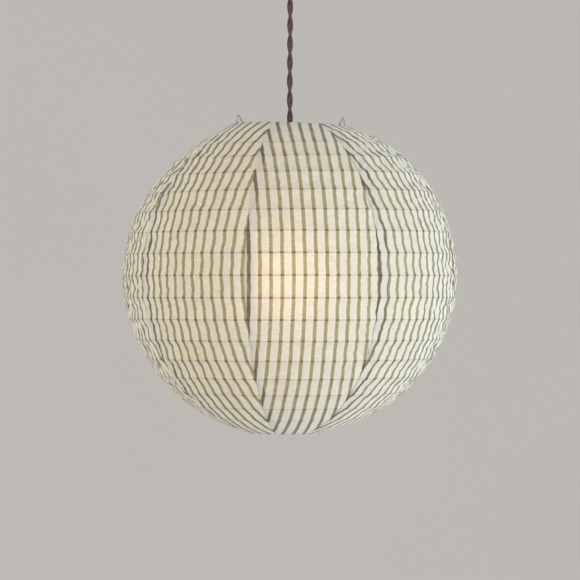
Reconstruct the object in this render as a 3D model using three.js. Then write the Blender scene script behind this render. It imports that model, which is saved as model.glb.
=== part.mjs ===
// A collapsible cotton lantern shade on wire hoops, hung by a three-armed carrier ring from a
// lampholder on a twisted flex. Millimetres, +Z up, origin at the middle of the ceiling rose's top face.
import * as THREE from "three";
import { mergeGeometries, mergeVertices } from "three/addons/utils/BufferGeometryUtils.js";

// Driving dimensions of the shade: an almost round ellipsoid cut flat at both ends.
const SHADE_RADIUS = 200;
const SHADE_HALF_HEIGHT = 191.6;
const WIDEST_Z = -386; // height of the widest hoop, below the ceiling
const STEPS_UP = 9; // hoop spacings from the widest hoop to the top rim
const STEPS_DOWN = 10; // and to the bottom rim
const HOOP_STEP = THREE.MathUtils.degToRad(7.667);
const GORES = 8;
const FIRST_SEAM = THREE.MathUtils.degToRad(-14.5); // from -Y, towards +X
const GORE_ANGLE = (2 * Math.PI) / GORES;
const GORE_COLUMNS = 4;
const ROUND = GORES * GORE_COLUMNS; // sides of every hoop, in line with the gores

// Thicknesses and clearances.
const HOOP_WIRE = 0.8; // wire radii
const RIM_WIRE = 1.4;
const ARM_WIRE = 0.9;
const CLOTH = 0.9;
const GAP = 0.3;
const TOP_EDGE_SHARE = 0.25; // how far down its first spacing the cloth's solid starts, clear of the ears

// The pendant set.
const ROSE_RADIUS = 38;
const ROSE_HEIGHT = 24;
const ROSE_GRIP_HEIGHT = 10;
const FLEX_RADIUS = 3.65;
const CARRIER_TOP = WIDEST_Z + 92;
const CARRIER_THICK = 2;
const CARRIER_INNER = 21;
const CARRIER_OUTER = 28;
const BULB_RADIUS = 40;
const BULB_CENTRE_Z = WIDEST_Z - 8;
const EAR_ANGLES = [-60, 60, 180].map(THREE.MathUtils.degToRad);

// A ring's radius and height, counted in hoop spacings up from the widest hoop.
function ringAt(steps) {
  const angle = steps * HOOP_STEP;
  return {
    radius: SHADE_RADIUS * Math.cos(angle),
    z: WIDEST_Z + SHADE_HALF_HEIGHT * Math.sin(angle),
    out: new THREE.Vector2(Math.cos(angle) / SHADE_RADIUS, Math.sin(angle) / SHADE_HALF_HEIGHT).normalize(),
  };
}
const TOP_RIM = ringAt(STEPS_UP);
const BOTTOM_RIM = ringAt(-STEPS_DOWN);

const part = new THREE.Group();

function material(color, roughness, metalness = 0) {
  return new THREE.MeshStandardMaterial({ color, roughness, metalness });
}

function addNode(name, geometry, look) {
  const mesh = new THREE.Mesh(geometry, look);
  mesh.name = name;
  part.add(mesh);
  return mesh;
}

function bare(geometry) {
  const copy = geometry.index ? geometry : geometry.clone();
  copy.deleteAttribute("normal");
  copy.deleteAttribute("uv");
  return copy;
}

// A turned solid: its outline is [radius, z] points, anticlockwise with radius to the right, and it
// either starts and ends on the axis or is closed here.
function turned(outline, sides, start = 0) {
  const points = outline.map(([r, z]) => new THREE.Vector2(r, z));
  const onAxis = outline[0][0] === 0 && outline[outline.length - 1][0] === 0;
  if (!onAxis) points.push(points[0]);
  return new THREE.LatheGeometry(points, sides, start).rotateX(Math.PI / 2);
}

// A round wire ring whose sides line up with the gores' columns.
function wireRing(radius, z, wire, sides) {
  const outline = [];
  for (let i = 0; i < sides; i++) {
    const a = (2 * Math.PI * i) / sides;
    outline.push([radius + wire * Math.cos(a), z + wire * Math.sin(a)]);
  }
  return turned(outline, ROUND, FIRST_SEAM);
}

// A round bar along a smooth curve through the points.
function bar(points, radius, sides, steps) {
  const circle = new THREE.Shape().setFromPoints(
    Array.from({ length: sides }, (_, i) => {
      const a = (2 * Math.PI * i) / sides;
      return new THREE.Vector2(radius * Math.cos(a), radius * Math.sin(a));
    }),
  );
  const path = new THREE.CatmullRomCurve3(points, false, "centripetal");
  return new THREE.ExtrudeGeometry(circle, { steps, extrudePath: path, curveSegments: 1 });
}

// The cloth between two rings runs straight; this is its inner and outer line at one ring.
function clothPoint(steps, wire, thickness) {
  const ring = ringAt(steps);
  const off = wire + GAP + thickness;
  return [ring.radius + ring.out.x * off, ring.z + ring.out.y * off];
}

function clothLine(thickness) {
  const line = [clothPoint(-STEPS_DOWN, RIM_WIRE, thickness)];
  for (let s = 1 - STEPS_DOWN; s < STEPS_UP; s++) line.push(clothPoint(s, HOOP_WIRE, thickness));
  const end = clothPoint(STEPS_UP, RIM_WIRE, thickness);
  const last = line[line.length - 1];
  line.push(end.map((v, i) => v + (last[i] - v) * TOP_EDGE_SHARE));
  return line;
}

// One gore: a sector of the turned wall, closed at its two side edges.
function goreGeometry(index) {
  const outline = [...clothLine(CLOTH), ...clothLine(0).reverse()];
  const points = outline.map(([r, z]) => new THREE.Vector2(r, z));
  const edge = GAP / 2 / SHADE_RADIUS; // keeps neighbouring gores apart
  const from = FIRST_SEAM + index * GORE_ANGLE + 2 * edge;
  const angle = GORE_ANGLE - 4 * edge;
  const wall = bare(new THREE.LatheGeometry([...points, points[0]], GORE_COLUMNS, from, angle));
  const side = (phi, flipped) => {
    const cap = bare(new THREE.ShapeGeometry(new THREE.Shape(points), 1)).rotateY(phi - Math.PI / 2);
    if (flipped) cap.setIndex(Array.from(cap.index.array).reverse());
    return cap;
  };
  const whole = mergeGeometries([wall, side(from, false), side(from + angle, true)]);
  return mergeVertices(whole, 1e-3).rotateX(Math.PI / 2);
}

// An arm of the carrier: up from the ring, out under the rim, round it and back inside as an ear.
function armGeometry() {
  const under = TOP_RIM.z - RIM_WIRE - GAP - ARM_WIRE;
  const rim = TOP_RIM.radius;
  const seat = CARRIER_TOP - CARRIER_THICK / 2;
  const route = [
    [CARRIER_OUTER + GAP, seat],
    [CARRIER_OUTER + 5, seat + 0.5],
    [CARRIER_OUTER + 9, seat + 6],
    [CARRIER_OUTER + 12, seat + 24],
    [CARRIER_OUTER + 14.5, seat + 37],
    [rim - 18, under - 28],
    [rim - 9, under - 8],
    [rim - 5.5, under - 1.5],
    [rim - 2.5, under],
    [rim + 0.8, under],
    [rim + 2.8, under + 1],
    [rim + 3.1, under + 3.5],
    [rim + 2.2, under + 8],
    [rim + 1, under + 12.4],
    [rim - 0.6, under + 12.6],
    [rim - 2.6, under + 9],
    [rim - 4.9, under + 4.6],
  ];
  const points = route.map(([r, z]) => new THREE.Vector3(r, 0, z));
  return bar(points, ARM_WIRE, 6, 32);
}

// The glass in one wall's thickness: round below, drawn in to the neck above.
function bulbGlassOutline(neckHead) {
  const wall = 1;
  const neck = 13;
  const arcSteps = 9;
  const shoulder = THREE.MathUtils.degToRad(58);
  const line = (radius, neckRadius) => {
    const points = [];
    for (let i = 0; i <= arcSteps; i++) {
      const a = -Math.PI / 2 + ((shoulder + Math.PI / 2) * i) / arcSteps;
      points.push([i ? radius * Math.cos(a) : 0, BULB_CENTRE_Z + radius * Math.sin(a)]);
    }
    points.push([neckRadius + 2.2, neckHead - 14], [neckRadius, neckHead - 7], [neckRadius, neckHead]);
    return points;
  };
  return [...line(BULB_RADIUS, neck), ...line(BULB_RADIUS - wall, neck - wall).reverse()];
}

const BRASS = () => material(0xb59a5c, 0.35, 1);
const CERAMIC = () => material(0xe8e2d6, 0.5);
const PLASTIC = () => material(0x2b211c, 0.35);
const STEEL = () => material(0x9a9c9c, 0.4, 1);
const COTTON = () => material(0xe3ddcb, 0.9);
const FLEX = () => material(0x3c2d26, 0.85);
const OPAL = () => material(0xfff1dc, 0.2);

// The ceiling rose: a base plate on the ceiling, a hollow cover over it and a cord grip below.
function addRose() {
  const wall = 2.5;
  const plateThick = 5;
  const plate = ROSE_RADIUS - wall - 2;
  addNode("rose_base", turned([[0, -plateThick], [plate, -plateThick], [plate, 0], [0, 0]], 32), PLASTIC());
  const cover = [
    [0, -ROSE_HEIGHT], [ROSE_RADIUS - 12, -ROSE_HEIGHT], [ROSE_RADIUS - 4, -ROSE_HEIGHT + 3],
    [ROSE_RADIUS, -ROSE_HEIGHT + 10], [ROSE_RADIUS, 0], [ROSE_RADIUS - wall, 0],
    [ROSE_RADIUS - wall, -ROSE_HEIGHT + 10], [ROSE_RADIUS - 12, -ROSE_HEIGHT + wall],
    [0, -ROSE_HEIGHT + wall],
  ];
  addNode("rose_cover", turned(cover, 32), PLASTIC());
  const top = -ROSE_HEIGHT - GAP;
  const foot = top - ROSE_GRIP_HEIGHT;
  const grip = [[0, foot], [5.5, foot], [8, top - 2], [8, top], [0, top]];
  addNode("rose_cord_grip", turned(grip, 24), PLASTIC());
}

// The flex hangs plumb from the rose's grip to the lampholder's cap.
const FLEX_ROUTE = [
  [0, 0, -34.6], [0.1, 0, -50], [0.2, 0, -66], [0.2, 0.1, -82], [0.1, 0.1, -98],
  [0, 0.1, -114], [-0.1, 0.1, -130], [-0.2, 0, -146], [-0.2, 0, -162], [-0.2, -0.1, -178],
  [-0.1, -0.1, -194], [0, -0.1, -210], [0.1, 0, -224], [0.1, 0, -238], [0, 0, -252.7],
];

function addFlex() {
  const points = FLEX_ROUTE.map((p) => new THREE.Vector3(...p));
  addNode("flex", bar(points, FLEX_RADIUS, 10, 14), FLEX());
}

// Heights of the lampholder's stack, from its mouth up to the flex.
const MOUTH = WIDEST_Z + 58;
const SOCKET_ROOF = WIDEST_Z + 97.3;
const BODY_HEAD = WIDEST_Z + 104.7;
const CAP_HEAD = WIDEST_Z + 133;
const SKIRT = 19.7;
const SOCKET = 15.2;
const LINER_WALL = 0.6;
const BLOCK_THICK = 12;
const CONTACT_TIP = WIDEST_Z + 79.3;

function addLampholder() {
  const capFoot = BODY_HEAD + GAP;
  const cap = [
    [0, capFoot], [21, capFoot], [21, capFoot + 5], [17, capFoot + 14], [9, capFoot + 20],
    [6.5, capFoot + 23], [6.5, CAP_HEAD], [0, CAP_HEAD],
  ];
  addNode("holder_cap", turned(cap, 28), PLASTIC());
  const flange = CARRIER_TOP + GAP;
  const body = [
    [0, SOCKET_ROOF], [SOCKET, SOCKET_ROOF], [SOCKET, MOUTH + 4], [17, MOUTH], [SKIRT, MOUTH],
    [SKIRT, flange], [25, flange], [25, flange + 4], [20.5, flange + 6], [20.5, BODY_HEAD],
    [0, BODY_HEAD],
  ];
  addNode("lampholder", turned(body, 28), PLASTIC());
  const blockFoot = SOCKET_ROOF - GAP - BLOCK_THICK;
  const block = [
    [0, blockFoot], [SOCKET - GAP, blockFoot], [SOCKET - GAP, SOCKET_ROOF - GAP], [0, SOCKET_ROOF - GAP],
  ];
  addNode("contact_block", turned(block, 28), CERAMIC());
  const linerHead = blockFoot - GAP;
  const linerOuter = SOCKET - GAP;
  const liner = [
    [linerOuter - LINER_WALL, MOUTH + 5], [linerOuter, MOUTH + 5], [linerOuter, linerHead],
    [linerOuter - LINER_WALL, linerHead],
  ];
  addNode("socket_liner", turned(liner, 28), BRASS());
  const contact = [[0, CONTACT_TIP], [2.5, CONTACT_TIP], [3, linerHead], [0, linerHead]];
  addNode("centre_contact", turned(contact, 16), BRASS());
  const ringTop = CARRIER_TOP - CARRIER_THICK - GAP;
  const nut = [[20.1, ringTop - 8], [26, ringTop - 8], [26, ringTop], [20.1, ringTop]];
  addNode("shade_ring", turned(nut, 28), PLASTIC());
}

// The bulb: opal glass open at its neck, and the screw cap that covers the neck.
function addBulb() {
  const neckHead = WIDEST_Z + 50;
  const capFoot = neckHead - 4;
  const floor = neckHead + GAP;
  const cap = [
    [0, floor], [13.3, floor], [13.3, capFoot], [13.9, capFoot], [13.9, floor],
    [13.2, floor + 23], [4, floor + 26], [4, CONTACT_TIP - GAP], [0, CONTACT_TIP - GAP],
  ];
  addNode("bulb_cap", turned(cap, 28), BRASS());
  addNode("bulb_glass", turned(bulbGlassOutline(neckHead), 28), OPAL());
}

function addCarrier() {
  const low = CARRIER_TOP - CARRIER_THICK;
  const ring = [[CARRIER_INNER, low], [CARRIER_OUTER, low], [CARRIER_OUTER, CARRIER_TOP],
    [CARRIER_INNER, CARRIER_TOP]];
  addNode("carrier_ring", turned(ring, 36), STEEL());
  EAR_ANGLES.forEach((angle, i) => {
    const arm = addNode(`carrier_arm_${i + 1}`, armGeometry(), STEEL());
    arm.rotation.z = angle - Math.PI / 2;
  });
}

function addWires() {
  addNode("top_rim", wireRing(TOP_RIM.radius, TOP_RIM.z, RIM_WIRE, 8), STEEL());
  for (let s = STEPS_UP - 1; s > -STEPS_DOWN; s--) {
    const ring = ringAt(s);
    const name = `hoop_${String(STEPS_UP - s).padStart(2, "0")}`;
    addNode(name, wireRing(ring.radius, ring.z, HOOP_WIRE, 5), STEEL());
  }
  addNode("bottom_rim", wireRing(BOTTOM_RIM.radius, BOTTOM_RIM.z, RIM_WIRE, 8), STEEL());
}

function addGores() {
  for (let i = 0; i < GORES; i++) addNode(`gore_${i + 1}`, goreGeometry(i), COTTON());
}

addRose();
addFlex();
addLampholder();
addBulb();
addCarrier();
addWires();
addGores();

export default part;
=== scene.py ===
"""A round lantern shade of striped cotton gores on wire hoops, hung from a twisted brown flex.

Metres, with +Z up and the front towards -Y.
"""
import math

import bpy
import numpy as np
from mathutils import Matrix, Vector, noise


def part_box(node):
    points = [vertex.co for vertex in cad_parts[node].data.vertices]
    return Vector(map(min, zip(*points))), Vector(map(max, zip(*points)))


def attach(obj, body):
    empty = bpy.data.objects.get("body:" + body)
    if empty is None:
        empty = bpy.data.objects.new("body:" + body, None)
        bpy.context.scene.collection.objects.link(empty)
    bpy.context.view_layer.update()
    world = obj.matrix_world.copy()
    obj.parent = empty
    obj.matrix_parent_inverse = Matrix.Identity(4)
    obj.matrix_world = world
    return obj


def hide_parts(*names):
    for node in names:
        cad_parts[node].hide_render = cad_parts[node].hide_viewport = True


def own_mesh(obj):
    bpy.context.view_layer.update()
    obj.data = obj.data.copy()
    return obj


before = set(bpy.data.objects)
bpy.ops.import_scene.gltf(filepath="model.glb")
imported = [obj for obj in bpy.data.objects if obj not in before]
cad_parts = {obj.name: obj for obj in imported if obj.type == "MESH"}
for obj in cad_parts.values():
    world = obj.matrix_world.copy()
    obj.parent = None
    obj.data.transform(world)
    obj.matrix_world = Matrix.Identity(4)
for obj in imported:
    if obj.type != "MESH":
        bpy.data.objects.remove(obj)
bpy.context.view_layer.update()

MM = 0.001
TAU = 2 * math.pi

# The shade as it was cut and wired. Rings count down from the top rim.
HOOP_WIRE = 0.8 * MM
RIM_WIRE = 1.4 * MM
ARM_WIRE = 0.9 * MM
CLOTH = 0.25 * MM
OUTER_LIE = 0.90 * MM        # the outer layer of cotton above the wire
UNDER_LIE = 0.25 * MM        # and the seam allowance beneath it
GORES = 8
GORE_ANGLE = TAU / GORES
FIRST_SEAM = math.radians(-14.5)
ALLOWANCES = [a * MM for a in (14, 12, 13, 12, 14, 12, 14, 8)]   # at each gore's right edge
HEM_SHARE = 0.36             # of the first hoop spacing
PULL_IN = 1.5 * MM           # how far the cotton draws in between two hoops
DEEPEST = 3.0 * MM           # and the most it draws in anywhere
# How far off centre the stripes lie in each gore, as it was cut
CUT_OFF_CENTRE = [a * MM for a in (1.9, -0.3, -1.1, 0.8, -0.6, 1.3, 0.4, -2.0)]
STRIPE_PITCH = 12.75 * MM
STRIPE_WIDTH = 4.5 * MM

RING_NODES = ["top_rim", *[f"hoop_{i:02d}" for i in range(1, 19)], "bottom_rim"]
LAST_RING = len(RING_NODES) - 1
WIDEST_RING = 9
EAR_ANGLES = [math.radians(a) for a in (-60, 60, 180)]


def around(radius, azimuth, z):
    """A point at this azimuth, counted from the front towards the right."""
    return Vector((radius * math.sin(azimuth), -radius * math.cos(azimuth), z))


def ring_size(node):
    """The radius and height of a ring's wire, from its CAD node."""
    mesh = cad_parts[node].data
    low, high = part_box(node)
    wire = (high[2] - low[2]) / 2
    reach = max(math.hypot(v.co.x, v.co.y) for v in mesh.vertices)
    return reach - wire, (low[2] + high[2]) / 2


RINGS = [ring_size(node) for node in RING_NODES]
WIDEST_Z = RINGS[WIDEST_RING][1]
SHADE_RADIUS = RINGS[WIDEST_RING][0]
SHADE_HALF_HEIGHT = (RINGS[0][1] - WIDEST_Z) / math.sin(math.acos(RINGS[0][0] / SHADE_RADIUS))

HOOPS_TIP = 1.7 * MM         # the upper hoops rise on the right, most at the fourth
RIM_TIP = 2.6 * MM           # and the top rim dips there
TOP_DRIFT = 3.0 * MM         # the top of the shade stands to the right
BOTTOM_DRIFT = 3.6 * MM      # and the bottom to the left
TOP_TURN = math.radians(3.4)   # to the left at the front


def lean(ring, azimuth):
    """How the hung shade has settled: its rings tip and drift a few millimetres."""
    tip = HOOPS_TIP * math.exp(-((ring - 4) / 3) ** 2) - RIM_TIP * math.exp(-((ring / 0.8) ** 2))
    up = (WIDEST_RING - ring) / WIDEST_RING
    drift = (TOP_DRIFT if up > 0 else BOTTOM_DRIFT) * up ** 3
    return Vector((drift, 0, tip * math.sin(azimuth)))


def turned_by(ring):
    """How far the top of the shade has turned on its hoops as it settled, as an angle."""
    return -TOP_TURN * math.exp(-(ring / 2.6) ** 1.5)


# ---------------------------------------------------------------- camera, light and floor

CAMERA_DISTANCE = 3.2
CAMERA_DROP = 16.9 * MM      # below the widest hoop
CAMERA_LENS = 164.5          # millimetres, on a 36 mm sensor


def add_camera():
    data = bpy.data.cameras.new("camera")
    data.sensor_width = 36
    data.lens = CAMERA_LENS
    data.clip_start, data.clip_end = 0.05, 60
    camera = bpy.data.objects.new("camera", data)
    camera.location = (0, -CAMERA_DISTANCE, WIDEST_Z - CAMERA_DROP)
    camera.rotation_euler = (math.radians(90), 0, 0)
    bpy.context.scene.collection.objects.link(camera)
    bpy.context.scene.camera = camera


def add_light(name, place, aim, size, power, colour):
    data = bpy.data.lights.new(name, "AREA")
    data.shape = "DISK"
    data.size, data.energy, data.color = size, power, colour
    lamp = bpy.data.objects.new(name, data)
    lamp.location = place
    lamp.rotation_euler = (Vector(aim) - Vector(place)).to_track_quat("-Z", "Y").to_euler()
    bpy.context.scene.collection.objects.link(lamp)


def add_studio():
    middle = (0, 0, WIDEST_Z)
    add_light("window_left", (-2.6, -2.4, 0.0), middle, 2.2, 64, (1.0, 0.955, 0.88))
    add_light("window_right", (3.0, -1.6, -0.9), middle, 2.4, 132, (0.80, 0.905, 1.0))
    add_light("rear_fill", (0.6, 2.8, 1.2), middle, 2.5, 26, (1.0, 0.99, 0.97))
    world = bpy.data.worlds.new("studio_air")
    world.use_nodes = True
    world.node_tree.nodes["Background"].inputs["Color"].default_value = (0.93, 0.93, 0.92, 1)
    world.node_tree.nodes["Background"].inputs["Strength"].default_value = 0.66
    bpy.context.scene.world = world
    bpy.context.scene.view_settings.view_transform = "Standard"


# ---------------------------------------------------------------- modelling helpers

def finish_mesh(obj, name, angle=None):
    """Names the piece, puts its place into its mesh and smooths it."""
    bpy.ops.object.select_all(action="DESELECT")
    obj.select_set(True)
    bpy.context.view_layer.objects.active = obj
    bpy.ops.object.transform_apply(location=True, rotation=True, scale=True)
    if angle is None:
        bpy.ops.object.shade_smooth()
    else:
        bpy.ops.object.shade_smooth_by_angle(angle=angle)
    obj.name = obj.data.name = name
    return obj


def close_up(obj):
    """Joins points that lie on each other and turns every face outward."""
    bpy.ops.object.select_all(action="DESELECT")
    obj.select_set(True)
    bpy.context.view_layer.objects.active = obj
    bpy.ops.object.mode_set(mode="EDIT")
    bpy.ops.mesh.select_all(action="SELECT")
    bpy.ops.mesh.remove_doubles(threshold=0.01 * MM)
    bpy.ops.mesh.normals_make_consistent(inside=False)
    bpy.ops.object.mode_set(mode="OBJECT")


def turned_piece(name, outline, segments=72, bevel=0.0, angle=math.radians(35), hollow=False):
    """Draws a circle out ring by ring along an outline of (radius, z).

    A hollow piece has a hole right through, so its last ring is joined to its first.
    """
    bpy.ops.object.select_all(action="DESELECT")
    (radius, z), rest = outline[0], outline[1:]
    bpy.ops.mesh.primitive_circle_add(
        vertices=segments, radius=radius, fill_type="NOTHING" if hollow else "NGON", location=(0, 0, z),
    )
    obj = bpy.context.active_object
    bpy.ops.object.transform_apply(location=True)
    bpy.ops.object.mode_set(mode="EDIT")
    bpy.ops.mesh.select_all(action="SELECT")
    for next_radius, next_z in rest:
        bpy.ops.mesh.extrude_region_move(TRANSFORM_OT_translate={"value": (0, 0, next_z - z)})
        share = next_radius / radius
        bpy.ops.transform.resize(value=(share, share, 1), center_override=(0, 0, next_z))
        radius, z = next_radius, next_z
    if hollow:
        bpy.ops.mesh.select_mode(type="EDGE")
        bpy.ops.mesh.select_all(action="DESELECT")
        bpy.ops.mesh.select_non_manifold()
        bpy.ops.mesh.bridge_edge_loops()
    bpy.ops.mesh.select_all(action="SELECT")
    bpy.ops.mesh.normals_make_consistent(inside=False)
    bpy.ops.object.mode_set(mode="OBJECT")
    if bevel:
        soften = obj.modifiers.new("soften", "BEVEL")
        soften.width, soften.segments, soften.limit_method = bevel, 2, "ANGLE"
        soften.angle_limit = math.radians(32)
        bpy.ops.object.modifier_apply(modifier=soften.name)
    return finish_mesh(obj, name, angle)


def wire_along(name, points, radius):
    """A round wire drawn along the points as a smooth curve, made a mesh."""
    curve = bpy.data.curves.new(name, "CURVE")
    curve.dimensions = "3D"
    curve.bevel_depth, curve.bevel_resolution = radius, 3
    curve.use_fill_caps = True
    spline = curve.splines.new("NURBS")
    spline.points.add(len(points) - 1)
    for place, point in zip(spline.points, points):
        place.co = (*point, 1)
    spline.order_u, spline.use_endpoint_u = 4, True
    spline.resolution_u = 6
    obj = bpy.data.objects.new(name, curve)
    bpy.context.scene.collection.objects.link(obj)
    bpy.ops.object.select_all(action="DESELECT")
    obj.select_set(True)
    bpy.context.view_layer.objects.active = obj
    bpy.ops.object.convert(target="MESH")
    close_up(bpy.context.active_object)
    return finish_mesh(bpy.context.active_object, name)


def mesh_piece(name, points, faces, maps):
    """A piece from its points and faces, with its UV maps given by point."""
    mesh = bpy.data.meshes.new(name)
    mesh.from_pydata([tuple(p) for p in points], [], faces)
    corners = np.array([loop.vertex_index for loop in mesh.loops])
    for title, values in maps.items():
        layer = mesh.uv_layers.new(name=title)
        layer.data.foreach_set("uv", np.asarray(values, float)[corners].ravel())
    mesh.shade_smooth()
    obj = bpy.data.objects.new(name, mesh)
    bpy.context.scene.collection.objects.link(obj)
    return obj


# ---------------------------------------------------------------- materials

def new_material(name):
    material = bpy.data.materials.new(name)
    material.use_nodes = True
    tree = material.node_tree
    return material, tree, tree.nodes["Principled BSDF"], tree.nodes["Material Output"]


def add_maths(tree, operation, first, second=None, third=None, clamp=False):
    node = tree.nodes.new("ShaderNodeMath")
    node.operation, node.use_clamp = operation, clamp
    for socket, value in zip(node.inputs, (first, second, third)):
        if value is None:
            continue
        if isinstance(value, (int, float)):
            socket.default_value = value
        else:
            tree.links.new(value, socket)
    return node.outputs[0]


def add_mix(tree, share, first, second):
    """Mixes two colours, each a socket or a plain colour."""
    node = tree.nodes.new("ShaderNodeMix")
    node.data_type = "RGBA"
    for index, value in ((0, share), (6, first), (7, second)):
        if isinstance(value, (int, float)):
            node.inputs[index].default_value = value
        elif isinstance(value, tuple):
            node.inputs[index].default_value = (*value, 1)
        else:
            tree.links.new(value, node.inputs[index])
    return node.outputs[2]


def add_noise(tree, vector, scale, detail=3.0, rough=0.55):
    node = tree.nodes.new("ShaderNodeTexNoise")
    node.inputs["Scale"].default_value = scale
    node.inputs["Detail"].default_value = detail
    node.inputs["Roughness"].default_value = rough
    tree.links.new(vector, node.inputs["Vector"])
    return node.outputs["Fac"]


def add_map(tree, name):
    node = tree.nodes.new("ShaderNodeUVMap")
    node.uv_map = name
    return node.outputs[0]


def add_split(tree, vector):
    """A vector's three parts."""
    node = tree.nodes.new("ShaderNodeSeparateXYZ")
    tree.links.new(vector, node.inputs[0])
    return tuple(node.outputs)


def add_stretch(tree, vector, scale):
    """A place stretched by its own factor along each axis."""
    node = tree.nodes.new("ShaderNodeVectorMath")
    node.operation = "MULTIPLY"
    node.inputs[1].default_value = scale
    tree.links.new(vector, node.inputs[0])
    return node.outputs[0]


def add_bump(tree, height, strength, distance):
    node = tree.nodes.new("ShaderNodeBump")
    node.inputs["Strength"].default_value = strength
    node.inputs["Distance"].default_value = distance
    tree.links.new(height, node.inputs["Height"])
    return node.outputs["Normal"]


def new_group(name, inputs, outputs):
    group = bpy.data.node_groups.new(name, "ShaderNodeTree")
    for title, kind, value in inputs:
        socket = group.interface.new_socket(title, in_out="INPUT", socket_type=kind)
        if value is not None:
            socket.default_value = value
    for title, kind in outputs:
        group.interface.new_socket(title, in_out="OUTPUT", socket_type=kind)
    return group, group.nodes.new("NodeGroupInput"), group.nodes.new("NodeGroupOutput")


def add_group(tree, group, **values):
    node = tree.nodes.new("ShaderNodeGroup")
    node.node_tree = group
    for title, value in values.items():
        socket = node.inputs[title]
        if isinstance(value, (int, float)):
            socket.default_value = value
        else:
            tree.links.new(value, socket)
    return node


def make_weave_group():
    """Plain weave: threads over and under each other, with slubs. Map is in metres."""
    group, source, sink = new_group(
        "plain weave",
        [("Map", "NodeSocketVector", None), ("Thread", "NodeSocketFloat", 0.5 * MM)],
        [("Height", "NodeSocketFloat"), ("Slub", "NodeSocketFloat")],
    )
    waves = []
    for place in add_split(group, source.outputs["Map"])[:2]:
        turns = add_maths(group, "DIVIDE", place, source.outputs["Thread"])
        waves.append(add_maths(group, "SINE", add_maths(group, "MULTIPLY", turns, math.pi)))
    over = add_maths(group, "MULTIPLY", waves[0], waves[1])
    group.links.new(add_maths(group, "MULTIPLY_ADD", over, 0.5, 0.5), sink.inputs["Height"])
    slubs = add_stretch(group, source.outputs["Map"], (1, 0.16, 1))
    group.links.new(add_noise(group, slubs, 900, 2), sink.inputs["Slub"])
    return group


WEAVE = make_weave_group()
THREAD = 0.55 * MM
STRIPE_WANDER = 0.8 * MM     # how far a stripe strays to either side
STRIPE_RAGGED = 0.4 * MM     # and its edges
STRIPE_FADE = 0.35 * MM      # over which its edge fades
WIRE_SHARE = 0.042           # of a hoop spacing, each side of a wire, where the wire showing through and its shadow are painted dark
SEE_THROUGH = 0.22           # between the threads of the cream cotton


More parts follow.
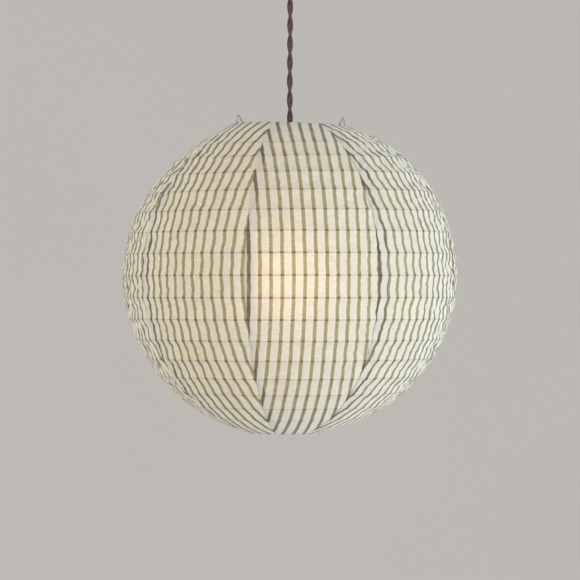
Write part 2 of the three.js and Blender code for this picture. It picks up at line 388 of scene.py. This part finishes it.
def make_striped_cotton():
    """Cream cotton with narrow olive stripes along its grain, thin enough to show light and the wires,
    with the wires' shadow painted dark on it and painted sheen and shade where it is seen aslant.
    """
    material, tree, shader, output = new_material("striped_cotton")
    cloth = add_map(tree, "cloth")
    from_seam = add_split(tree, add_map(tree, "seam"))
    across = add_split(tree, cloth)
    down = add_split(tree, add_map(tree, "rings"))
    wander = add_noise(tree, cloth, 22, 2)
    ragged = add_noise(tree, cloth, 700, 2)
    offset = add_maths(tree, "MULTIPLY_ADD", wander, 2 * STRIPE_WANDER, -STRIPE_WANDER)
    edge = add_maths(tree, "MULTIPLY_ADD", ragged, 2 * STRIPE_RAGGED, -STRIPE_RAGGED)
    place = add_maths(tree, "ADD", across[0], offset)
    cycle = add_maths(tree, "PINGPONG", place, STRIPE_PITCH / 2)
    inside = add_maths(tree, "SUBTRACT", add_maths(tree, "ADD", STRIPE_WIDTH / 2, edge), cycle)
    stripe = add_maths(tree, "DIVIDE", inside, STRIPE_FADE, clamp=True)
    nearest = add_maths(tree, "PINGPONG", down[1], 0.5)
    wire = add_maths(tree, "DIVIDE", add_maths(tree, "SUBTRACT", WIRE_SHARE, nearest), 0.02, clamp=True)
    under = add_maths(tree, "SUBTRACT", from_seam[1], from_seam[0])
    patches = add_noise(tree, cloth, 30, 2)
    patchy = add_maths(tree, "MULTIPLY_ADD", patches, 2.2, -0.35, clamp=True)
    double = add_maths(tree, "MULTIPLY", patchy, add_maths(tree, "DIVIDE", under, 0.5 * MM, clamp=True))
    weft = add_noise(tree, add_stretch(tree, cloth, (0.12, 1, 1)), 750, 2)
    weave = add_group(tree, WEAVE, Map=cloth, Thread=THREAD)
    thick_threads = add_maths(tree, "SUBTRACT", weave.outputs["Slub"], 0.8)
    slub = add_maths(tree, "MULTIPLY_ADD", weft, 1.6, thick_threads, clamp=True)
    cream = add_mix(tree, slub, (0.75, 0.74, 0.665), (0.93, 0.92, 0.855))
    olive = add_mix(tree, slub, (0.375, 0.36, 0.175), (0.555, 0.53, 0.31))
    thick_cream = add_mix(tree, double, cream, (0.90, 0.875, 0.81))
    thick_olive = add_mix(tree, double, olive, (0.235, 0.225, 0.12))
    # Painted light by view angle: where the cotton is seen aslant, the cream is painted pale as a painted
    # sheen and the olive stripes dark as painted shade.
    view = tree.nodes.new("ShaderNodeLayerWeight")
    aslant = add_maths(tree, "MULTIPLY_ADD", view.outputs["Facing"], 2.8, -0.85, clamp=True)
    painted_sheen_share, painted_shade_share = (add_maths(tree, "MULTIPLY", aslant, share) for share in (0.5, 0.7))
    cream_with_painted_sheen = add_mix(tree, painted_sheen_share, thick_cream, (0.82, 0.85, 0.78))
    olive_with_painted_shade = add_mix(tree, painted_shade_share, thick_olive, (0.10, 0.105, 0.085))
    dye_with_painted_edge_light = add_mix(tree, add_maths(tree, "MULTIPLY", stripe, 0.96), cream_with_painted_sheen, olive_with_painted_shade)
    # Painted shadow of the wires: a dark line along each hoop, fainter at the rims and strongest over the
    # stripes.
    from_rim = add_maths(tree, "PINGPONG", down[1], LAST_RING / 2)
    clear = add_maths(tree, "MULTIPLY_ADD", from_rim, 0.35, 0.15, clamp=True)
    painted_wire_shadow_mask = add_maths(tree, "MULTIPLY", wire, clear)
    painted_wire_shadow_share = add_maths(tree, "MULTIPLY", painted_wire_shadow_mask, add_maths(tree, "MULTIPLY_ADD", stripe, 0.64, 0.12))
    shadow = add_mix(tree, painted_wire_shadow_share, dye_with_painted_edge_light, (0.085, 0.075, 0.045))
    tree.links.new(shadow, shader.inputs["Base Color"])
    shader.inputs["Roughness"].default_value = 0.92
    shader.inputs["Sheen Weight"].default_value = 0.4
    shader.inputs["Sheen Roughness"].default_value = 0.5
    shader.inputs["Specular IOR Level"].default_value = 0.2
    lumps = add_maths(tree, "MULTIPLY_ADD", weave.outputs["Slub"], 0.6, weave.outputs["Height"])
    normal = add_bump(tree, lumps, 0.35, 0.25 * MM)
    tree.links.new(normal, shader.inputs["Normal"])
    glow = tree.nodes.new("ShaderNodeBsdfTranslucent")
    tree.links.new(shadow, glow.inputs["Color"])
    thin = tree.nodes.new("ShaderNodeMixShader")
    thin.inputs[0].default_value = 0.45
    tree.links.new(shader.outputs[0], thin.inputs[1])
    tree.links.new(glow.outputs[0], thin.inputs[2])
    holes = tree.nodes.new("ShaderNodeBsdfRefraction")
    holes.inputs["Color"].default_value = (1, 0.91, 0.81, 1)
    holes.inputs["Roughness"].default_value = 0.75
    holes.inputs["IOR"].default_value = 1.25
    open_weave = tree.nodes.new("ShaderNodeMixShader")
    seen_through = add_maths(tree, "MULTIPLY_ADD", stripe, -0.05, SEE_THROUGH)
    closed = add_maths(tree, "MULTIPLY_ADD", aslant, -0.7, 1.0)
    tree.links.new(add_maths(tree, "MULTIPLY", seen_through, closed), open_weave.inputs[0])
    tree.links.new(thin.outputs[0], open_weave.inputs[1])
    tree.links.new(holes.outputs[0], open_weave.inputs[2])
    tree.links.new(open_weave.outputs[0], output.inputs["Surface"])
    return material


def object_place(tree):
    return tree.nodes.new("ShaderNodeTexCoord").outputs["Object"]


def make_steel(name, dark, light, rough):
    """Drawn or plated steel wire, with a little grain and dulling."""
    material, tree, shader, _ = new_material(name)
    place = object_place(tree)
    grain = add_noise(tree, place, 900, 3)
    dull = add_noise(tree, place, 60, 3)
    tree.links.new(add_mix(tree, dull, dark, light), shader.inputs["Base Color"])
    tree.links.new(add_maths(tree, "MULTIPLY_ADD", dull, 0.25, rough), shader.inputs["Roughness"])
    tree.links.new(add_bump(tree, grain, 0.15, 0.05 * MM), shader.inputs["Normal"])
    shader.inputs["Metallic"].default_value = 0.9
    return material


def make_brown_plastic():
    material, tree, shader, _ = new_material("brown_plastic")
    place = object_place(tree)
    swirl = add_noise(tree, place, 35, 4)
    grain = add_noise(tree, place, 1400, 2)
    colour = add_mix(tree, swirl, (0.022, 0.013, 0.009), (0.05, 0.03, 0.02))
    tree.links.new(colour, shader.inputs["Base Color"])
    tree.links.new(add_maths(tree, "MULTIPLY_ADD", swirl, 0.2, 0.22), shader.inputs["Roughness"])
    tree.links.new(add_bump(tree, grain, 0.12, 0.05 * MM), shader.inputs["Normal"])
    return material


def make_brass():
    material, tree, shader, _ = new_material("cap_brass")
    place = object_place(tree)
    tarnish = add_noise(tree, place, 80, 4)
    colour = add_mix(tree, tarnish, (0.45, 0.32, 0.12), (0.7, 0.55, 0.27))
    tree.links.new(colour, shader.inputs["Base Color"])
    tree.links.new(add_maths(tree, "MULTIPLY_ADD", tarnish, 0.25, 0.2), shader.inputs["Roughness"])
    shader.inputs["Metallic"].default_value = 1.0
    return material


def make_porcelain():
    material, tree, shader, _ = new_material("white_ceramic")
    place = object_place(tree)
    cloud = add_noise(tree, place, 120, 3)
    colour = add_mix(tree, cloud, (0.74, 0.71, 0.65), (0.84, 0.82, 0.77))
    tree.links.new(colour, shader.inputs["Base Color"])
    tree.links.new(add_maths(tree, "MULTIPLY_ADD", cloud, 0.15, 0.12), shader.inputs["Roughness"])
    shader.inputs["Coat Weight"].default_value = 0.4
    return material


def make_lit_opal():
    """Opal glass, lit warm from inside, with a faint mottle."""
    material, tree, shader, _ = new_material("lit_opal")
    place = object_place(tree)
    mottle = add_noise(tree, place, 40, 2)
    warm = add_mix(tree, mottle, (1.0, 0.60, 0.31), (1.0, 0.68, 0.40))
    shader.inputs["Base Color"].default_value = (0.95, 0.93, 0.88, 1)
    shader.inputs["Roughness"].default_value = 0.25
    tree.links.new(warm, shader.inputs["Emission Color"])
    shader.inputs["Emission Strength"].default_value = 8.8
    return material


def make_flex_braid():
    """Brown cotton braid. Its map runs once round a core, and along it in metres."""
    material, tree, shader, _ = new_material("flex_braid")
    round_core, along_core, _ = add_split(tree, add_map(tree, "braid"))
    turns = add_maths(tree, "MULTIPLY", round_core, 5.0)
    steps = add_maths(tree, "DIVIDE", along_core, 2.2 * MM)
    rise, fall = (
        add_maths(tree, "SINE", add_maths(tree, "MULTIPLY", add_maths(tree, way, turns, steps), TAU))
        for way in ("ADD", "SUBTRACT")
    )
    plait = add_maths(tree, "MULTIPLY_ADD", add_maths(tree, "MAXIMUM", rise, fall), 0.5, 0.5)
    # The grooves between the plaits are painted dark as painted shade, with a random fibre tone over it.
    fibre = add_noise(tree, object_place(tree), 1500, 3)
    shade = add_maths(tree, "MULTIPLY", plait, fibre)
    colour = add_mix(tree, shade, (0.018, 0.008, 0.006), (0.15, 0.075, 0.055))
    tree.links.new(colour, shader.inputs["Base Color"])
    tree.links.new(add_bump(tree, plait, 0.8, 0.25 * MM), shader.inputs["Normal"])
    shader.inputs["Roughness"].default_value = 0.85
    shader.inputs["Sheen Weight"].default_value = 0.3
    return material


def make_stage_paint():
    material, tree, shader, _ = new_material("stage_paint")
    mottle = add_noise(tree, object_place(tree), 0.7, 2)
    colour = add_mix(tree, mottle, (0.585, 0.55, 0.52), (0.62, 0.585, 0.55))
    tree.links.new(colour, shader.inputs["Base Color"])
    shader.inputs["Roughness"].default_value = 0.95
    return material


COTTON = make_striped_cotton()
HOOP_STEEL = make_steel("hoop_wire", (0.30, 0.30, 0.30), (0.42, 0.42, 0.41), 0.4)
CARRIER_STEEL = make_steel("carrier_steel", (0.22, 0.22, 0.215), (0.40, 0.40, 0.39), 0.3)
BROWN = make_brown_plastic()
BRASS = make_brass()
PORCELAIN = make_porcelain()
OPAL = make_lit_opal()
BRAID = make_flex_braid()


def dress(piece, material, body, slot, *nodes):
    """Gives a finished piece its material and the body it rides on, and hides the nodes it stands for;
    slot is not used.
    """
    piece.data.materials.clear()
    piece.data.materials.append(material)
    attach(piece, body)
    if nodes:
        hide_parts(*nodes)
    return piece


# ---------------------------------------------------------------- flex

FLEX_ROUTE = [
    (0, 0, -34.6), (0.1, 0, -50), (0.2, 0, -66), (0.2, 0.1, -82), (0.1, 0.1, -98),
    (0, 0.1, -114), (-0.1, 0.1, -130), (-0.2, 0, -146), (-0.2, 0, -162), (-0.2, -0.1, -178),
    (-0.1, -0.1, -194), (0, -0.1, -210), (0.1, 0, -224), (0.1, 0, -238), (0, 0, -252.7),
]
CORE_RADIUS = 1.8 * MM
TWIST_RADIUS = 1.85 * MM
TWIST_LAY = 45 * MM
CORE_PER_FLEX = 1.033        # length of twisted core in each length of flex
CROSSING_Z = WIDEST_Z + 201.6 * MM   # one crossing of the two cores, seen from the front


def make_flex():
    """Two braided cores twisted round each other, down the whole route."""
    route = [Vector(p) * MM for p in FLEX_ROUTE]
    heights = np.array([p.z for p in route])[::-1]
    steps, sides = 220, 12
    slope = TWIST_RADIUS * TAU / TWIST_LAY
    points, faces, braid = [], [], []
    for core in (0, 1):
        first = len(points)
        for i in range(steps + 1):
            z = route[0].z + (route[-1].z - route[0].z) * i / steps
            x = np.interp(z, heights, [p.x for p in route][::-1])
            y = np.interp(z, heights, [p.y for p in route][::-1])
            turn = -TAU * (z - CROSSING_Z) / TWIST_LAY + core * math.pi
            middle = Vector((x, y, z)) + around(TWIST_RADIUS, turn, 0)
            along = Vector((-slope * math.cos(turn), -slope * math.sin(turn), 1)).normalized()
            side = Vector((math.sin(turn), -math.cos(turn), 0))
            other = along.cross(side)
            for k in range(sides + 1):
                a = TAU * k / sides
                points.append(middle + (side * math.cos(a) + other * math.sin(a)) * CORE_RADIUS)
                braid.append((k / sides, (route[0].z - z) * CORE_PER_FLEX))
        row = sides + 1
        for i in range(steps):
            for k in range(sides):
                a = first + i * row + k
                faces.append((a, a + row, a + row + 1, a + 1))
        faces.append(tuple(first + k for k in range(sides)))
        last = first + steps * row
        faces.append(tuple(last + k for k in reversed(range(sides))))
    piece = mesh_piece("twisted_flex", points, faces, {"braid": braid})
    close_up(piece)
    return dress(piece, BRAID, "root", "flex_braid", "flex"), route


# ---------------------------------------------------------------- the cotton

def outward(ring):
    """The shade's outward direction at a ring, as (radius, z)."""
    radius, z = RINGS[ring]
    out = Vector((radius / SHADE_RADIUS ** 2, (z - WIDEST_Z) / SHADE_HALF_HEIGHT ** 2))
    return out.normalized()


def wire_of(ring):
    return RIM_WIRE if ring in (0, LAST_RING) else HOOP_WIRE


def lie_at(ring, lie, side=1):
    """Where cotton lies over a ring's wire, as (radius, z)."""
    return Vector(RINGS[ring]) + outward(ring) * side * (wire_of(ring) + lie)


# The cotton's rows: within each hoop spacing, and over each rim wire
SPAN_STEPS = (0, 0.04, 0.1, 0.18, 0.27, 0.36, 0.45, 0.55, 0.64, 0.73, 0.82, 0.9, 0.96)
RIM_STEPS = 8


def meridian():
    """The cotton's way from its top hem to its bottom hem, as rows of (ring, share, kind)."""
    rows = [(0, HEM_SHARE * k / 3, "top_hem") for k in (3, 2, 1)]
    rows += [(0, k / RIM_STEPS, "top_turn") for k in range(RIM_STEPS)]
    for ring in range(LAST_RING):
        rows += [(ring, share, "span") for share in SPAN_STEPS]
    rows += [(LAST_RING, k / RIM_STEPS, "bottom_turn") for k in range(RIM_STEPS + 1)]
    rows += [(LAST_RING - 1, 1 - HEM_SHARE * k / 3, "bottom_hem") for k in (1, 2, 3)]
    return rows


def span_point(ring, share, lie, side):
    """Cotton between two rings, before it draws in, and its outward direction."""
    low, high = lie_at(ring, lie, side), lie_at(ring + 1, lie, side)
    out = outward(ring).lerp(outward(ring + 1), share).normalized()
    return low.lerp(high, share), out


def turn_point(ring, share, lie):
    """Cotton turned over a rim wire: share 0 is inside at the top rim and outside at the bottom one."""
    start = math.atan2(outward(ring)[1], outward(ring)[0])
    angle = start + math.pi * (1 - share) if ring == 0 else start - math.pi * share
    reach = wire_of(ring) + lie
    return Vector(RINGS[ring]) + Vector((math.cos(angle), math.sin(angle))) * reach


def pull(azimuth, down, pitch, place=0.0):
    """How the cotton is pulled at a place, from -1 to 1. Pitch sets how fine it is round the shade."""
    x, y = pitch * math.cos(azimuth), pitch * math.sin(azimuth)
    return noise.noise(Vector((x, y, down + place)))


def wrapped(azimuth):
    """The same azimuth, from minus half a turn to half a turn."""
    return (azimuth + math.pi) % TAU - math.pi


# Uneven pulls in the cotton: depth in millimetres, how fine round the shade, how fine down it
BROAD_PULLS = (0.5, 7, 0.8)
PUCKERS = (1.0, 22, 3.6)
FINE_PUCKERS = (0.55, 38, 6.4)
SWAYS = (1.0, 12, 3.1)       # pulls that push the stripes sideways
SEAM_REACH = 16 * MM         # over which a seam gathers the cotton beside it
TIGHT_FRONT = 0.8            # the angle over which the front is drawn tighter than the rest


def slackness(down):
    """How slack the cotton is: drawn tight at the rims, fully slack three hoops in, or six from below."""
    inside = min((down + 0.6) / 3.5, (LAST_RING + 0.2 - down) / 6)
    return max(0.0, min(1.0, inside)) ** 1.5


def cotton_point(row, azimuth, lie, sunk=0.0):
    """Where the cotton lies: over the hoops, drawn in and puckered between them, more so at a seam."""
    ring, share, kind = row
    if kind in ("top_turn", "bottom_turn"):
        place, down = turn_point(ring, share, lie), float(ring)
        azimuth += turned_by(down)
        return around(place[0], azimuth, place[1]) + lean(down, azimuth)
    side = -1 if kind.endswith("hem") else 1
    place, out = span_point(ring, share, lie, side)
    down = ring + share
    window = 4 * share * (1 - share) * slackness(down)
    turns = (azimuth - FIRST_SEAM) / GORE_ANGLE
    seam_gap = RINGS[ring][0] * GORE_ANGLE * abs(turns - round(turns))
    beside = math.exp(-seam_gap / SEAM_REACH)
    deep = PULL_IN * (1 + 0.4 * pull(azimuth, ring * 3.7, 5))
    slack = 1 + 1.5 * (1 - math.exp(-(wrapped(azimuth) / TIGHT_FRONT) ** 2))
    depth, pitch, rate = BROAD_PULLS
    pucker = depth * pull(azimuth, rate * down, pitch)
    depth, pitch, rate = PUCKERS
    pucker += depth * (slack + 0.8 * beside) * pull(azimuth, rate * down, pitch)
    depth, pitch, rate = FINE_PUCKERS
    pucker += depth * slack * pull(azimuth, rate * down, pitch, place=3.3)
    place = place - out * (window * min(deep - pucker * MM, DEEPEST) + window ** 2 * sunk)
    depth, pitch, rate = SWAYS
    sway = depth * (0.3 * slack + 1.2 * beside) * pull(azimuth, rate * down, pitch, place=9.1) * MM
    azimuth += window * sway / place[0] + turned_by(down)
    return around(place[0], azimuth, place[1]) + lean(down, azimuth)


def flat_radius(down):
    """The shade's plain radius at a place between rings, which sets how wide the gore was cut."""
    ring = min(int(down), LAST_RING - 1)
    return RINGS[ring][0] + (RINGS[ring + 1][0] - RINGS[ring][0]) * (down - ring)


GORE_COLUMNS = 44
ALLOWANCE_COLUMNS = 4
ALLOWANCE_SINK = 0.9 * MM    # how far the allowance hangs below the next gore, midway between hoops


def allowance_point(row, seam, beyond):
    """The allowance under the next gore, following that gore's own columns and sunk a little below it."""
    step = GORE_ANGLE / GORE_COLUMNS
    column = int(beyond / step)
    sunk = ALLOWANCE_SINK if beyond and row[2] == "span" else 0.0
    near = cotton_point(row, seam + column * step, UNDER_LIE, sunk)
    far = cotton_point(row, seam + (column + 1) * step, UNDER_LIE, sunk)
    return near.lerp(far, beyond / step - column)


def make_gore(index):
    """One gore: its own width on top, and its allowance running on under the next gore."""
    rows = meridian()
    left = FIRST_SEAM + index * GORE_ANGLE
    centre = left + GORE_ANGLE / 2
    points, cloth, rings, seam = [], [], [], []
    length = 0.0
    before = None
    for row in rows:
        ring, share, kind = row
        down = float(ring) if "turn" in kind else ring + share
        radius = flat_radius(down)
        middle = cotton_point(row, centre, OUTER_LIE)
        length += (middle - before).length if before else 0.0
        before = middle
        for column in range(GORE_COLUMNS + ALLOWANCE_COLUMNS + 1):
            beyond = ALLOWANCES[index] / radius * max(0, column - GORE_COLUMNS) / ALLOWANCE_COLUMNS
            azimuth = left + GORE_ANGLE * min(column, GORE_COLUMNS) / GORE_COLUMNS
            if column < GORE_COLUMNS:
                points.append(cotton_point(row, azimuth, OUTER_LIE))
            else:
                points.append(allowance_point(row, azimuth, beyond))
            azimuth += beyond
            cloth.append((radius * (azimuth - centre) - CUT_OFF_CENTRE[index], length))
            rings.append((0, down))
            seam.append((radius * (azimuth - left), ALLOWANCES[index - 1]))
    wide = GORE_COLUMNS + ALLOWANCE_COLUMNS + 1
    faces = [
        (a, a + wide, a + wide + 1, a + 1)
        for a in (r * wide + c for r in range(len(rows) - 1) for c in range(wide - 1))
    ]
    name = f"gore_{index + 1}_cotton"
    piece = mesh_piece(name, points, faces, {"cloth": cloth, "rings": rings, "seam": seam})
    bpy.ops.object.select_all(action="DESELECT")
    piece.select_set(True)
    bpy.context.view_layer.objects.active = piece
    thick = piece.modifiers.new("thickness", "SOLIDIFY")
    thick.thickness, thick.offset = CLOTH, 0
    bpy.ops.object.modifier_apply(modifier=thick.name)
    dress(piece, COTTON, "root", "striped_cotton", f"gore_{index + 1}")
    return piece


def add_cotton():
    for index in range(GORES):
        piece = make_gore(index)
        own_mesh(piece)


# ---------------------------------------------------------------- wires

def make_ring_wire(ring):
    """A hoop or rim: a fine torus, leaning as the shade has settled."""
    radius, z = RINGS[ring]
    node = RING_NODES[ring]
    bpy.ops.object.select_all(action="DESELECT")
    bpy.ops.mesh.primitive_torus_add(
        location=(0, 0, z), major_radius=radius, minor_radius=wire_of(ring),
        major_segments=128, minor_segments=8,
    )
    piece = finish_mesh(bpy.context.active_object, f"{node}_wire")
    for v in piece.data.vertices:
        v.co += lean(ring, math.atan2(v.co.x, -v.co.y))
    dress(piece, HOOP_STEEL, "root" if ring == 0 else node, "hoop_wire", node)


# A carrier arm in millimetres: up from the carrier ring's edge, then under the rim and back as an ear
ARM_CLIMB = [(-1, 0), (4.5, 0.5), (7, 6), (8.5, 24), (11, 37)]
ARM_EAR = [
    (-18, -28), (-9, -8), (-5.5, -1.5), (-2.5, 0), (0.8, 0), (2.8, 0.9), (3.3, 3.4),
    (2.4, 8), (1.2, 13), (0.2, 14.2), (-1.0, 13.2), (-3.2, 9), (-5.6, 4.6),
]


def make_arm(index):
    """A carrier arm: from the carrier ring up, out under the rim, and back over it as an ear."""
    azimuth = EAR_ANGLES[index]
    rim, top = RINGS[0]
    seat = (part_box("carrier_ring")[0][2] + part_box("carrier_ring")[1][2]) / 2
    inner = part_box("carrier_ring")[1][0]
    under = top - RIM_WIRE - ARM_WIRE - 0.3 * MM
    route = [(inner + r * MM, seat + z * MM) for r, z in ARM_CLIMB]
    route += [(rim + r * MM, under + z * MM) for r, z in ARM_EAR]
    points = []
    for r, z in route:
        hold = min(1.0, max(0.0, (z - seat) / (under - seat)) ** 2)
        points.append(around(r, azimuth + turned_by(0) * hold, z) + lean(0, azimuth) * hold)
    piece = wire_along(f"carrier_arm_{index + 1}_wire", points, ARM_WIRE)
    return dress(piece, CARRIER_STEEL, "root", "carrier_steel", f"carrier_arm_{index + 1}")


def add_wires():
    for ring in range(LAST_RING + 1):
        make_ring_wire(ring)
    for index in range(len(EAR_ANGLES)):
        make_arm(index)


# ---------------------------------------------------------------- fittings

def reach_of(node):
    """A turned node's radius, foot and head."""
    low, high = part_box(node)
    return (high[0] - low[0]) / 2, low[2], high[2]


def from_edge(radius, z, *corners):
    """Part of an outline: corners in millimetres outward from a radius and up from a height."""
    return [(radius + r * MM, z + rise * MM) for r, rise in corners]


def add_fittings():
    radius, foot, head = reach_of("rose_base")
    plate = turned_piece("rose_plate", [(radius, foot), (radius, head)], bevel=0.5 * MM)
    dress(plate, BROWN, "root", "brown_plastic", "rose_base")
    radius, foot, head = reach_of("rose_cover")
    inside = from_edge(radius, foot, (-2.5, 14), (-5.5, 6), (-13, 2.5))
    cord_hole = from_edge(0, foot, (5, 2.5), (4, 0))
    outside = from_edge(radius, foot, (-13, 0), (-7, 1.2), (-2.5, 4.5), (-0.5, 10), (0, 16))
    brim = from_edge(radius, head, (0, -3), (-1, -2), (0, -1.2), (0, 0), (-2.5, 0))
    rose = turned_piece("rose_cup", inside + cord_hole + outside + brim, hollow=True)
    dress(rose, BROWN, "root", "brown_plastic", "rose_cover")
    radius, foot, head = reach_of("rose_cord_grip")
    outline = from_edge(0, foot, (4.2, 0), (5.2, 0), (5.6, 1.5), (7.2, 6))
    outline += [(radius, foot + 7 * MM), (radius, head)]
    grip = turned_piece("rose_grip", outline, segments=48, bevel=0.3 * MM)
    dress(grip, BROWN, "root", "brown_plastic", "rose_cord_grip")
    radius, foot, head = reach_of("holder_cap")
    outline = from_edge(radius, foot, (0, 0), (0, 5), (-1.2, 6), (-2.5, 11), (-6, 16), (-11, 19.5))
    outline += from_edge(0, foot, (7.6, 20.5), (6.5, 22)) + from_edge(0, head, (6.5, -1), (5.4, 0))
    cap = turned_piece("lampholder_cap", outline, bevel=0.4 * MM)
    dress(cap, BROWN, "root", "brown_plastic", "holder_cap")
    return plate, rose, grip


SOCKET_BORE = 15.2 * MM
SOCKET_DEPTH = 39.3 * MM
SKIRT = 19.7 * MM            # the holder's threaded skirt
SKIRT_THREAD = 2.5 * MM
LINER_THREAD = 3.6 * MM      # the bulb's thread, in the liner and on its cap


def add_lampholder():
    """The holder's body with its flange, thread and socket, and the ring that clamps the carrier."""
    _, foot, head = reach_of("lampholder")
    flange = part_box("carrier_ring")[1][2] + 0.3 * MM
    outline = [(SOCKET_BORE, foot + SOCKET_DEPTH), (SOCKET_BORE, foot + 4 * MM), (17 * MM, foot)]
    outline += [(SKIRT - 0.6 * MM, foot)]
    z = foot + 1.5 * MM
    while z < foot + 26 * MM:
        outline += from_edge(SKIRT, z, (0, 0), (0, 0.9), (-0.7, 1.4), (-0.7, 1.9))
        z += SKIRT_THREAD
    outline += from_edge(SKIRT, flange, (0, -4), (0, 0))
    outline += from_edge(0, flange, (25, 0), (25, 4), (20.5, 6)) + [(20.5 * MM, head)]
    body = turned_piece("lampholder_body", outline)
    dress(body, BROWN, "root", "brown_plastic", "lampholder")
    radius, foot, head = reach_of("contact_block")
    outline = from_edge(radius, foot, (-2, 0), (0, 2)) + [(radius, head)]
    insert = turned_piece("contact_insert", outline, bevel=0.4 * MM)
    dress(insert, PORCELAIN, "root", "white_ceramic", "contact_block")
    radius, foot, head = reach_of("centre_contact")
    outline = from_edge(0, foot, (1.2, 0), (2.3, 0.5), (2.3, 2))
    outline += [(radius, foot + 2.6 * MM), (radius, head)]
    contact = turned_piece("centre_contact_spring", outline, segments=32)
    dress(contact, BRASS, "root", "cap_brass", "centre_contact")
    radius, foot, head = reach_of("socket_liner")
    outline = from_edge(radius, head, (-0.5, 0), (0, 0)) + from_edge(radius, foot, (0, 0), (-0.5, 0))
    z = foot + 1 * MM
    while z < head - 4 * MM:
        outline += from_edge(radius, z, (-0.5, 0), (-0.9, 1.2), (-0.5, 2.4))
        z += LINER_THREAD
    liner = turned_piece("socket_liner_shell", outline, hollow=True)
    dress(liner, BRASS, "root", "cap_brass", "socket_liner")
    radius, foot, head = reach_of("shade_ring")
    outline = from_edge(radius, head, (-1, 0), (0, -1)) + from_edge(radius, foot, (0, 1), (-1, 0))
    outline += [(20.1 * MM, foot), (20.1 * MM, head)]
    clamp = turned_piece("shade_ring_nut", outline, hollow=True)
    dress(clamp, BROWN, "shade_ring", "brown_plastic", "shade_ring")


BULB_RADIUS = 40 * MM


def add_bulb():
    _, foot, head = reach_of("bulb_glass")
    belly = foot + BULB_RADIUS
    turns = [math.radians(a) for a in range(-86, 53, 6)]
    outline = [(BULB_RADIUS * math.cos(a), belly + BULB_RADIUS * math.sin(a)) for a in turns]
    outline += from_edge(0, head, (21.6, -20), (17.6, -15), (14.6, -9), (13.2, -4), (13, 0))
    glass = turned_piece("opal_bulb", outline, angle=math.radians(60))
    dress(glass, OPAL, "bulb", "bulb_glass", "bulb_glass")
    _, foot, head = reach_of("bulb_cap")
    outline = from_edge(0, foot, (13.3, 4.3), (13.3, 0), (13.9, 0.3), (13.8, 4.6))
    z = foot + 5.4 * MM
    while z < head - 8 * MM:
        outline += from_edge(0, z, (12.6, 0), (13.3, 0.9), (13.3, 1.5), (12.6, 2.4))
        z += LINER_THREAD
    outline += from_edge(0, head, (12, -6), (6, -2.5), (4, -2.5), (4, 0))
    cap = turned_piece("bulb_screw_cap", outline)
    dress(cap, BRASS, "bulb", "cap_brass", "bulb_cap")


def make_carrier_ring():
    """A flat steel washer with softened edges, the shade's seat on the lampholder."""
    low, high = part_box("carrier_ring")
    outline = from_edge(0, high[2], (27.4, 0), (28, -0.6)) + from_edge(0, low[2], (28, 0.6), (27.4, 0))
    outline += from_edge(0, low[2], (21.4, 0), (21, 0.4)) + from_edge(0, high[2], (21, -0.4), (21.4, 0))
    ring = turned_piece("carrier_washer", outline, hollow=True)
    dress(ring, CARRIER_STEEL, "root", "carrier_steel", "carrier_ring")


# ---------------------------------------------------------------- stage

ROOM_FLOOR = -4.8
ROOM_FLOOR_RADIUS = 3.4
ROOM_WALL = ((4.2, 0.12), (4.8, 0.45), (5.1, 1.0), (5.2, 9.2))   # its curve up, as (radius, rise)


def add_stage():
    """A plain pale room, round so that every view has it behind; only the camera sees it."""
    bpy.ops.object.select_all(action="DESELECT")
    radius = ROOM_FLOOR_RADIUS
    floor = (0, 0, ROOM_FLOOR)
    bpy.ops.mesh.primitive_circle_add(vertices=96, radius=radius, fill_type="NGON", location=floor)
    room = bpy.context.active_object
    bpy.ops.object.mode_set(mode="EDIT")
    bpy.ops.mesh.select_all(action="SELECT")
    for next_radius, rise in ROOM_WALL:
        bpy.ops.mesh.extrude_region_move(TRANSFORM_OT_translate={"value": (0, 0, rise)})
        share = next_radius / radius
        bpy.ops.transform.resize(value=(share, share, 1), center_override=(0, 0, 0))
        radius = next_radius
    bpy.ops.mesh.delete(type="ONLY_FACE")
    bpy.ops.object.mode_set(mode="OBJECT")
    finish_mesh(room, "pale_floor")
    room.data.materials.append(make_stage_paint())
    room.visible_diffuse = room.visible_glossy = room.visible_transmission = room.visible_shadow = False


add_camera()
add_studio()
flex, flex_route = make_flex()
add_wires()
rose_plate, rose, rose_grip = add_fittings()
add_lampholder()
make_carrier_ring()
add_bulb()
add_cotton()
add_stage()
